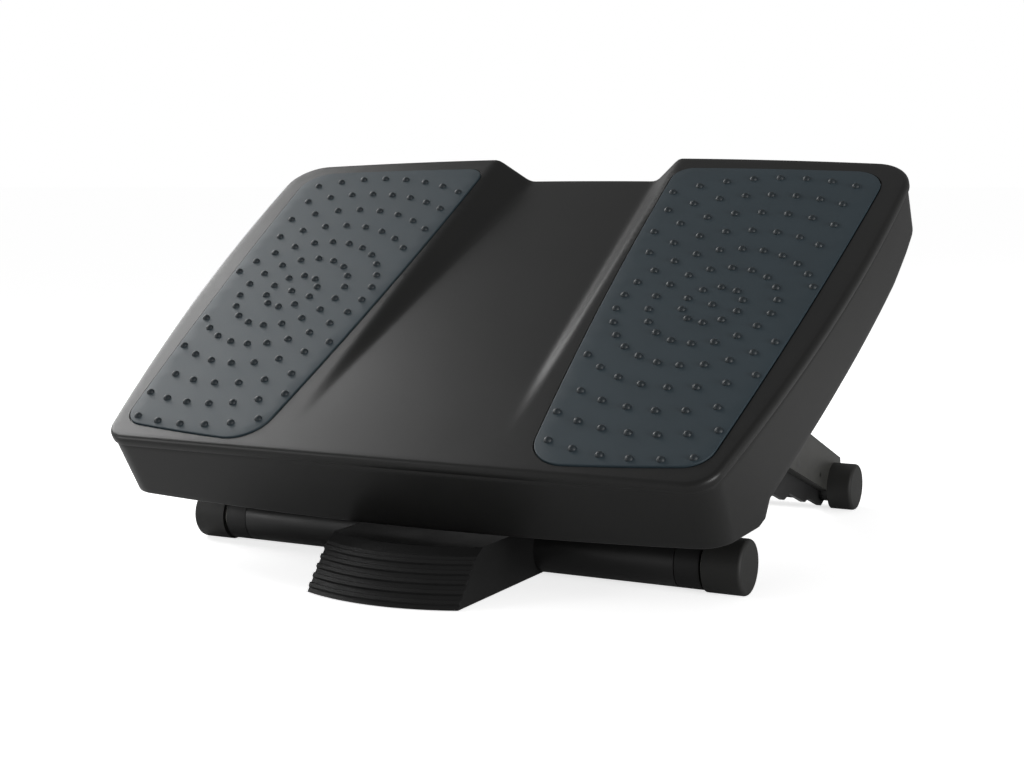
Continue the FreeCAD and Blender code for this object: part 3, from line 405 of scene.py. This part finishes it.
def grain_material(
    name, colour, rough, grain, depth, colour_change=0.15, rough_change=0.06, specular=0.5
):
    """Moulded plastic or rubber: fine grain in the surface and faint change in colour and gloss."""
    material, nodes, links, shader = new_material(name)
    place = nodes.new("ShaderNodeTexCoord")
    fine = nodes.new("ShaderNodeTexNoise")
    fine.inputs["Scale"].default_value = grain
    fine.inputs["Detail"].default_value = 3
    fine.inputs["Roughness"].default_value = 0.6
    links.new(place.outputs["Object"], fine.inputs["Vector"])
    bump = nodes.new("ShaderNodeBump")
    bump.inputs["Strength"].default_value = depth
    bump.inputs["Distance"].default_value = GRAIN_HEIGHT
    links.new(fine.outputs["Fac"], bump.inputs["Height"])
    links.new(bump.outputs["Normal"], shader.inputs["Normal"])
    broad = nodes.new("ShaderNodeTexNoise")
    broad.inputs["Scale"].default_value = BLOTCH_SCALE
    broad.inputs["Detail"].default_value = 4
    links.new(place.outputs["Object"], broad.inputs["Vector"])
    tone = nodes.new("ShaderNodeMapRange")
    tone.inputs["From Min"].default_value = BLOTCH_TONES[0]
    tone.inputs["From Max"].default_value = BLOTCH_TONES[1]
    tone.inputs["To Min"].default_value = 1 - colour_change
    tone.inputs["To Max"].default_value = 1 + colour_change
    links.new(broad.outputs["Fac"], tone.inputs["Value"])
    mix = nodes.new("ShaderNodeVectorMath")
    mix.operation = "SCALE"
    mix.inputs[0].default_value = colour
    links.new(tone.outputs["Result"], mix.inputs["Scale"])
    links.new(mix.outputs["Vector"], shader.inputs["Base Color"])
    gloss = nodes.new("ShaderNodeMapRange")
    gloss.inputs["From Min"].default_value = BLOTCH_GLOSS[0]
    gloss.inputs["From Max"].default_value = BLOTCH_GLOSS[1]
    gloss.inputs["To Min"].default_value = rough - rough_change
    gloss.inputs["To Max"].default_value = rough + rough_change
    links.new(broad.outputs["Fac"], gloss.inputs["Value"])
    links.new(gloss.outputs["Result"], shader.inputs["Roughness"])
    shader.inputs["Specular IOR Level"].default_value = specular
    return material


def steel_material(name, colour):
    """Plated steel with faint turning marks."""
    material, nodes, links, shader = new_material(name)
    place = nodes.new("ShaderNodeTexCoord")
    stretch = nodes.new("ShaderNodeMapping")
    stretch.inputs["Scale"].default_value = STEEL_MARKS
    links.new(place.outputs["Object"], stretch.inputs["Vector"])
    marks = nodes.new("ShaderNodeTexNoise")
    marks.inputs["Scale"].default_value = 1
    links.new(stretch.outputs["Vector"], marks.inputs["Vector"])
    gloss = nodes.new("ShaderNodeMapRange")
    gloss.inputs["To Min"].default_value = STEEL_ROUGHNESS[0]
    gloss.inputs["To Max"].default_value = STEEL_ROUGHNESS[1]
    links.new(marks.outputs["Fac"], gloss.inputs["Value"])
    links.new(gloss.outputs["Result"], shader.inputs["Roughness"])
    shader.inputs["Metallic"].default_value = 1
    shader.inputs["Base Color"].default_value = colour
    return material


TRAY_PLASTIC = grain_material(
    "tray_plastic", (0.0095, 0.0095, 0.0092), rough=0.38, grain=2600, depth=0.16,
    colour_change=0.06, rough_change=0.015, specular=0.28,
)
PAD_RUBBER = grain_material(
    "pad_rubber", (0.026, 0.04, 0.049), rough=0.55, grain=1800, depth=0.25,
    colour_change=0.06, rough_change=0.02, specular=0.3,
)
NUB_RUBBER = grain_material(
    "nub_rubber", (0.012, 0.018, 0.022), rough=0.5, grain=1800, depth=0.2,
    colour_change=0.06, specular=0.4,
)
PEDAL_PLASTIC = grain_material(
    "pedal_plastic", (0.0065, 0.0065, 0.0065), rough=0.5, grain=2200, depth=0.25, specular=0.25
)
LEG_PLASTIC = grain_material(
    "leg_plastic", (0.03, 0.03, 0.027), rough=0.5, grain=2200, depth=0.3
)
ARM_PLASTIC = grain_material(
    "arm_plastic", (0.009, 0.009, 0.009), rough=0.55, grain=2200, depth=0.3, specular=0.35
)
BAR_PAINT = grain_material(
    "black_paint", (0.009, 0.009, 0.009), rough=0.38, grain=900, depth=0.12
)
BOOT_RUBBER = grain_material(
    "boot_rubber", (0.0165, 0.0165, 0.0155), rough=0.62, grain=1500, depth=0.4, specular=0.35
)
NYLON = grain_material(
    "nylon", (0.6, 0.59, 0.53), rough=0.45, grain=1500, depth=0.2, colour_change=0.04
)
STEEL = steel_material("zinc_steel", (0.5, 0.5, 0.49, 1))
BLACK_STEEL = steel_material("black_steel", (0.035, 0.035, 0.033, 1))


def dress(piece, material):
    """Gives a piece its one material."""
    piece.data.materials.clear()
    piece.data.materials.append(material)
    return piece


# Tray: rings round its outline, and a filled top and underside


def tray_outline(inset):
    """The tray's outline, moved inward by an inset."""
    centre, radius = circle_through(
        (TRAY_FRONT_WIDTH / 2, -TRAY_FRONT_EDGE),
        (TRAY_MIDDLE_WIDTH / 2, 0),
        (TRAY_WIDTH / 2, TRAY_BACK_EDGE),
    )
    rear = TRAY_REAR - TRAY_REAR_BOW
    front = TRAY_FRONT_BOW - TRAY_FRONT
    across = []
    for back in (front, (front + rear) / 2, rear):
        across.append(centre[0] + math.sqrt(radius**2 - (back - centre[1]) ** 2))
    corners = [(-across[0], front), (across[0], front), (across[2], rear), (-across[2], rear)]
    middle = (front + rear) / 2
    middles = [(0, -TRAY_FRONT), (across[1], middle), (0, TRAY_REAR), (-across[1], middle)]
    radii = [TRAY_FRONT_CORNER, TRAY_FRONT_CORNER, TRAY_CORNER, TRAY_CORNER]
    return rounded_outline(corners, middles, radii, inset, TRAY_SIDE_POINTS, TRAY_CORNER_POINTS)


def skirt_level(outline):
    """Height of the skirt's lower edge below each point of the outline."""
    across, back = np.abs(outline[:, 0]), outline[:, 1]
    share = np.minimum(across / (TRAY_FRONT_WIDTH / 2), 1) ** 2
    front = SKIRT_MIDDLE + (SKIRT_CORNER - SKIRT_MIDDLE) * share
    along = (back + TRAY_FRONT) / (TRAY_FRONT + SKIRT_BACK[0])
    depth = front + (SKIRT_LOBE - front) * along
    rear = np.interp(back, SKIRT_BACK, SKIRT_DEPTH)
    return -np.where(back < SKIRT_BACK[0], depth, rear)


def smooth_min(a, b, blend):
    """The lesser of two numbers with the corner between them rounded."""
    share = np.clip(0.5 + 0.5 * (b - a) / blend, 0, 1)
    return b + (a - b) * share - blend * share * (1 - share)


def channel_level(points):
    """Height of the foot surface: the lobes at 0 and the channel sunk between them."""
    floor = (points[:, 1] - CHANNEL_START) * CHANNEL_SLOPE
    wall = (CHANNEL_HALF - np.abs(points[:, 0])) * CHANNEL_WALL
    depth = smooth_min(floor, wall, CHANNEL_FOOT_BLEND)
    return smooth_min(-depth, np.zeros_like(depth), CHANNEL_CREST_BLEND)


def ring_at(inset, share, low, drop):
    """One ring of the tray: share 1 follows the foot surface, 0 the skirt's lower edge."""
    outline = tray_outline(inset)
    top = channel_level(outline) + drop
    level = top * share + (skirt_level(outline) + low) * (1 - share)
    return np.column_stack([outline, level])


def box_data(across, back, low, high):
    """Points and faces of an upright box, from pairs of its limits."""
    points = []
    for level in (low, high):
        points.append((across[0], back[0], level))
        points.append((across[1], back[0], level))
        points.append((across[1], back[1], level))
        points.append((across[0], back[1], level))
    faces = [(3, 2, 1, 0), (4, 5, 6, 7)]
    for index in range(4):
        after = (index + 1) % 4
        faces.append((index, after, after + 4, index + 4))
    return points, faces


def under_parts():
    """Ribs under the pads, and the bosses that take the brackets' screws."""
    parts = []
    half = RIB_WALL / 2
    low = -TRAY_WALL - RIB_DEPTH
    high = -TRAY_WALL + RIB_SINK
    for sign in (-1, 1):
        for across in (RIB_INNER, (RIB_INNER + RIB_OUTER) / 2, RIB_OUTER):
            middle = sign * across
            parts.append(
                box_data((middle - half, middle + half), (-RIB_REACH, RIB_REACH), low, high)
            )
        start = RIB_INNER if sign > 0 else -RIB_OUTER
        for back in (-RIB_REACH, RIB_REACH / 2, RIB_REACH):
            width = (start, start + RIB_OUTER - RIB_INNER)
            parts.append(box_data(width, (back - half, back + half), low, high))
        for step in (-BOSS_STEP, BOSS_STEP):
            centre = (sign * BOSS_ACROSS, PIVOT_BACK + step)
            rings = []
            for level in (high, -TRAY_WALL - BOSS_HEIGHT):
                rings.append(circle_ring(*centre, BOSS_RADIUS, level, BOSS_SIDES))
            points, faces = rings_data(rings)
            faces.append(tuple(range(BOSS_SIDES, 2 * BOSS_SIDES)))
            parts.append((points, faces))
    return parts


def casing_rings():
    """Rings from the top of the rim down the skirt, round its edge and up its inner side."""
    rings = []
    for x, y in arc_profile((RIM_ROUND, -RIM_ROUND), RIM_ROUND, 90, 180, RIM_ROUND_POINTS):
        rings.append(ring_at(x, 1, 0, y))
    for inset, rise in RIM_EDGE:
        rings.append(ring_at(inset, 1, 0, rise - RIM_DEPTH))
    shares = [index / SKIRT_RINGS for index in range(1, SKIRT_RINGS + 1)]
    for share in shares:
        inset = RIM_STEP + (TRAY_INSET - RIM_STEP) * share
        rings.append(ring_at(inset, 1 - share, SKIRT_OUTER_ROUND, -RIM_DEPTH - RIM_GROOVE))
    centre = (TRAY_INSET + SKIRT_OUTER_ROUND, SKIRT_OUTER_ROUND)
    for x, y in arc_profile(centre, SKIRT_OUTER_ROUND, 180, 270, SKIRT_ROUND_POINTS)[1:]:
        rings.append(ring_at(x, 0, y, 0))
    inner = TRAY_INSET + TRAY_WALL
    centre = (inner - SKIRT_INNER_ROUND, SKIRT_INNER_ROUND)
    for x, y in arc_profile(centre, SKIRT_INNER_ROUND, 270, 360, SKIRT_ROUND_POINTS):
        rings.append(ring_at(x, 0, y, 0))
    for share in shares:
        inset = inner + (RIM_STEP - TRAY_INSET) * share
        rings.append(ring_at(inset, share, SKIRT_INNER_ROUND, -TRAY_WALL - UNDERSIDE_CORNER))
    rings.append(ring_at(TRAY_WALL + RIM_STEP + UNDERSIDE_CORNER, 1, 0, -TRAY_WALL))
    return rings


def tray_piece():
    """The tray's casing, with a recess for each pad and its ribs and bosses below."""
    rings = casing_rings()
    parts = [rings_data(rings)]
    holes = [pad_outline(sign, -PAD_GAP) for sign in (-1, 1)]
    flat, faces = fill_between(rings[0][:, :2], holes, TOP_GRID)
    level = channel_level(flat)
    parts.append((np.column_stack([flat, level]).tolist(), faces))
    flat, faces = fill_between(rings[-1][:, :2], [], UNDERSIDE_GRID)
    level = channel_level(flat) - TRAY_WALL
    parts.append((np.column_stack([flat, level]).tolist(), faces))
    for hole in holes:
        lips = [level_ring(hole, -drop) for drop in (0, PAD_LIP, PAD_RECESS)]
        points, lip_faces = rings_data(lips)
        lip_faces.append(tuple(range(2 * len(hole), 3 * len(hole))))
        parts.append((points, lip_faces))
    points, faces = join_data(parts + under_parts())
    piece = make_mesh("tray_casing", points, faces, TRAY_FRAME)
    weld(piece, WELD_GAP)
    smooth_by_angle(piece, TRAY_SHARP)
    return piece


# Foot pads


def pad_outline(sign, inset):
    """The outline of one pad, moved inward by an inset."""
    front = TRAY_FRONT - PAD_FRONT_EDGE
    rear = TRAY_REAR - PAD_REAR_EDGE
    inner = [CHANNEL_HALF + margin for margin in PAD_INNER]
    widths = (TRAY_FRONT_WIDTH, TRAY_MIDDLE_WIDTH, TRAY_WIDTH)
    outer = [width / 2 - margin for width, margin in zip(widths, PAD_OUTER)]
    corners = [
        (inner[0], -front), (outer[0], PAD_FRONT_SLANT - front),
        (outer[2], rear - PAD_REAR_SLANT), (inner[2], rear),
    ]
    middles = [
        ((inner[0] + outer[0]) / 2, PAD_FRONT_SLANT / 2 - front - PAD_BOW), (outer[1], 0),
        ((inner[2] + outer[2]) / 2, rear - PAD_REAR_SLANT / 2 + PAD_BOW), (inner[1], 0),
    ]
    outline = rounded_outline(
        corners, middles, PAD_RADII, inset, PAD_SIDE_POINTS, PAD_CORNER_POINTS
    )
    if sign < 0:
        outline = outline[::-1] * np.array([-1, 1])
    return outline


def nub_places(sign):
    """Centres of the nubs of one pad: rings round its middle, as far as they fit."""
    outline = pad_outline(sign, 0)
    middle = np.array([sign * RING_ACROSS, RING_BACK])
    places = [middle]
    for step, count in enumerate(RING_COUNTS):
        radius = RING_FIRST + step * RING_STEP
        for index in range(count):
            angle = math.pi / 2 + 2 * math.pi * index / count
            places.append(middle + radius * np.array([math.cos(angle), math.sin(angle)]))
    places = np.array(places)
    keep = inside(places, outline) & (distance_to(places, outline) > NUB_RADIUS + NUB_MARGIN)
    return places[keep]


def pad_piece(sign, word):
    """One rubber pad, rounded along its edges."""
    top = PAD_THICKNESS - PAD_RECESS
    rings = []
    for inset, level in (
        (PAD_UNDER_ROUND, -PAD_RECESS),
        (0, PAD_UNDER_ROUND - PAD_RECESS),
        (0, top - PAD_TOP_ROUND),
    ):
        rings.append(level_ring(pad_outline(sign, inset), level))
    centre = (PAD_TOP_ROUND, top - PAD_TOP_ROUND)
    for x, y in arc_profile(centre, PAD_TOP_ROUND, 180, 90, PAD_ROUND_POINTS)[1:]:
        rings.append(level_ring(pad_outline(sign, x), y))
    parts = [rings_data(rings)]
    flat, faces = fill_between(rings[-1][:, :2], [], PAD_GRID)
    parts.append((level_ring(flat, top).tolist(), faces))
    points, faces = join_data(parts)
    piece = make_mesh(f"rubber_pad_{word}", points, faces, TRAY_FRAME)
    weld(piece, WELD_GAP)
    smooth_by_angle(piece, PAD_SHARP)
    return piece


def nubs_piece(sign, word):
    """All the domed nubs of one pad."""
    top = PAD_THICKNESS - PAD_RECESS
    ball = (NUB_RADIUS**2 + NUB_HEIGHT**2) / (2 * NUB_HEIGHT)
    parts = []
    for x, y in nub_places(sign):
        rings = []
        for index in range(NUB_STEPS):
            radius = NUB_RADIUS * math.cos(index / NUB_STEPS * math.pi / 2)
            rise = math.sqrt(ball**2 - radius**2) - (ball - NUB_HEIGHT)
            rings.append(circle_ring(x, y, radius, top - NUB_SINK + rise, NUB_SIDES))
        points, faces = rings_data(rings)
        points.append((x, y, top + NUB_HEIGHT))
        last = (NUB_STEPS - 1) * NUB_SIDES
        peak = len(points) - 1
        for side in range(NUB_SIDES):
            faces.append((last + side, peak, last + (side + 1) % NUB_SIDES))
        parts.append((points, faces))
    points, faces = join_data(parts)
    piece = make_mesh(f"pad_nubs_{word}", points, faces, TRAY_FRAME)
    weld(piece, NUB_WELD_GAP)
    return piece


casing = dress(tray_piece(), TRAY_PLASTIC)
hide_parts("tray_shell")
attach(casing, "tray")
for sign, word in ((-1, "left"), (1, "right")):
    pad = dress(pad_piece(sign, word), PAD_RUBBER)
    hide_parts(f"foot_pad_{word}")
    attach(pad, "tray")
    nubs = dress(nubs_piece(sign, word), NUB_RUBBER)
    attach(nubs, "tray")

# Finishes of the pieces that keep their shape from the frame
NODE_MATERIALS = {
    "front_axle": STEEL,
    "axle_washers": NYLON,
    "pedal_tube": BAR_PAINT,
    "pedal_bushes": NYLON,
    "pedal_spring": STEEL,
    "foot_pedal": PEDAL_PLASTIC,
    "latch_arm_left": ARM_PLASTIC,
    "latch_arm_right": ARM_PLASTIC,
    "front_boot_left": BOOT_RUBBER,
    "front_boot_right": BOOT_RUBBER,
    "rear_boot_left": BOOT_RUBBER,
    "rear_boot_right": BOOT_RUBBER,
    "front_leg_left": ARM_PLASTIC,
    "front_leg_right": ARM_PLASTIC,
    "front_leg_brace": BAR_PAINT,
    "rear_leg_left": LEG_PLASTIC,
    "rear_leg_right": LEG_PLASTIC,
    "stepped_web_left": ARM_PLASTIC,
    "stepped_web_right": ARM_PLASTIC,
    "leg_screws": BLACK_STEEL,
    "latch_rod": BLACK_STEEL,
    "rear_bar": BAR_PAINT,
    "pivot_shaft": STEEL,
    "pivot_clips": STEEL,
    "pivot_spacers": NYLON,
    "tray_bracket_left": ARM_PLASTIC,
    "tray_bracket_right": ARM_PLASTIC,
    "bracket_screws": STEEL,
}
for name, material in NODE_MATERIALS.items():
    dress(frame["nodes"][name], material)

# Moulded and pressed pieces get softly broken edges
BROKEN_EDGES = {
    "rear_leg_left": 0.7, "rear_leg_right": 0.7, "front_leg_left": 0.6, "front_leg_right": 0.6,
    "stepped_web_left": 0.4, "stepped_web_right": 0.4, "latch_arm_left": 0.5,
    "latch_arm_right": 0.5, "tray_bracket_left": 0.5, "tray_bracket_right": 0.5,
    "foot_pedal": 0.35,
}
for name, width in BROKEN_EDGES.items():
    bevel = frame["nodes"][name].modifiers.new("broken_edges", "BEVEL")
    bevel.width = width * MM
    bevel.segments = 2
    bevel.limit_method = "ANGLE"
    bevel.angle_limit = math.radians(BROKEN_EDGE_SHARP)
    bevel.harden_normals = True


# Floor, light and camera


def seen_rays(nodes, links):
    """1 for rays from the camera, straight or through something clear, and 0 for the others."""
    path = nodes.new("ShaderNodeLightPath")
    seen = nodes.new("ShaderNodeMath")
    seen.operation = "MAXIMUM"
    links.new(path.outputs["Is Camera Ray"], seen.inputs[0])
    links.new(path.outputs["Is Transmission Ray"], seen.inputs[1])
    return seen


def floor_material():
    """A pale floor that keeps the object's shadow and reads as white to the camera."""
    material, nodes, links, shader = new_material("pale_floor")
    output = nodes["Material Output"]
    shader.inputs["Base Color"].default_value = FLOOR_COLOUR
    shader.inputs["Roughness"].default_value = 1
    shader.inputs["Specular IOR Level"].default_value = 0
    seen = seen_rays(nodes, links)
    glow = nodes.new("ShaderNodeEmission")
    glow.inputs["Color"].default_value = WHITE
    strength = nodes.new("ShaderNodeMath")
    strength.operation = "MULTIPLY"
    strength.inputs[1].default_value = FLOOR_GLOW
    links.new(seen.outputs["Value"], strength.inputs[0])
    links.new(strength.outputs["Value"], glow.inputs["Strength"])
    add = nodes.new("ShaderNodeAddShader")
    links.new(shader.outputs["BSDF"], add.inputs[0])
    links.new(glow.outputs["Emission"], add.inputs[1])
    links.new(add.outputs["Shader"], output.inputs["Surface"])
    return material


def make_floor():
    """A wide floor just below the object."""
    half = FLOOR_HALF
    points = [(-half, -half, 0), (half, -half, 0), (half, half, 0), (-half, half, 0)]
    mesh = bpy.data.meshes.new("floor")
    mesh.from_pydata(points, [], [(0, 1, 2, 3)])
    floor = bpy.data.objects.new("floor", mesh)
    bpy.context.scene.collection.objects.link(floor)
    floor.location = (0, 0, -FLOOR_GAP)
    dress(floor, floor_material())


def make_world():
    """Soft grey light from all round, and a white background for the camera."""
    world = bpy.data.worlds.new("studio")
    bpy.context.scene.world = world
    world.use_nodes = True
    nodes = world.node_tree.nodes
    links = world.node_tree.links
    background = nodes["Background"]
    seen = seen_rays(nodes, links)
    strength = nodes.new("ShaderNodeMapRange")
    strength.inputs["To Min"].default_value = WORLD_LIGHT
    strength.inputs["To Max"].default_value = WORLD_SEEN
    links.new(seen.outputs["Value"], strength.inputs["Value"])
    links.new(strength.outputs["Result"], background.inputs["Strength"])
    background.inputs["Color"].default_value = WHITE


def area_light(name, place, target, width, height, power):
    """A rectangular lamp that faces a target, with lengths in metres and power in watts."""
    light = bpy.data.lights.new(name, "AREA")
    light.shape = "RECTANGLE"
    light.size = width
    light.size_y = height
    light.energy = power
    lamp = bpy.data.objects.new(name, light)
    lamp.location = place
    way = Vector(target) - Vector(place)
    lamp.rotation_euler = way.to_track_quat("-Z", "Y").to_euler()
    bpy.context.scene.collection.objects.link(lamp)


def make_camera():
    """The photograph's viewpoint, looking from the front right and slightly down."""
    data = bpy.data.cameras.new("camera")
    camera = bpy.data.objects.new("camera", data)
    bpy.context.scene.collection.objects.link(camera)
    flat = math.cos(CAMERA_DIP)
    back = Vector(
        (math.sin(CAMERA_TURN) * flat, -math.cos(CAMERA_TURN) * flat, math.sin(CAMERA_DIP))
    )
    right = Vector((0, 0, 1)).cross(back).normalized()
    up = back.cross(right)
    right_rolled = right * math.cos(CAMERA_ROLL) + up * math.sin(CAMERA_ROLL)
    up_rolled = up * math.cos(CAMERA_ROLL) - right * math.sin(CAMERA_ROLL)
    matrix = Matrix((right_rolled, up_rolled, back)).transposed().to_4x4()
    matrix.translation = Vector(CAMERA_PLACE)
    camera.matrix_world = matrix
    data.sensor_width = CAMERA_SENSOR
    data.lens = CAMERA_LENS
    data.clip_start = 0.01
    bpy.context.scene.camera = camera


make_floor()
make_world()
make_camera()
area_light(
    "key_left", place=(-1.34, 0.3, 0.93), target=(-0.05, 0, 0.12),
    width=1.0, height=0.9, power=19,
)
area_light(
    "side_right", place=(1.55, -0.45, 0.24), target=(0.15, 0, 0.08),
    width=0.8, height=0.4, power=15,
)
area_light(
    "front_left", place=(-1.3, -1.2, 0.5), target=(-0.1, -0.1, 0.1),
    width=0.7, height=0.6, power=7.5,
)
bpy.context.scene.view_settings.view_transform = "Standard"
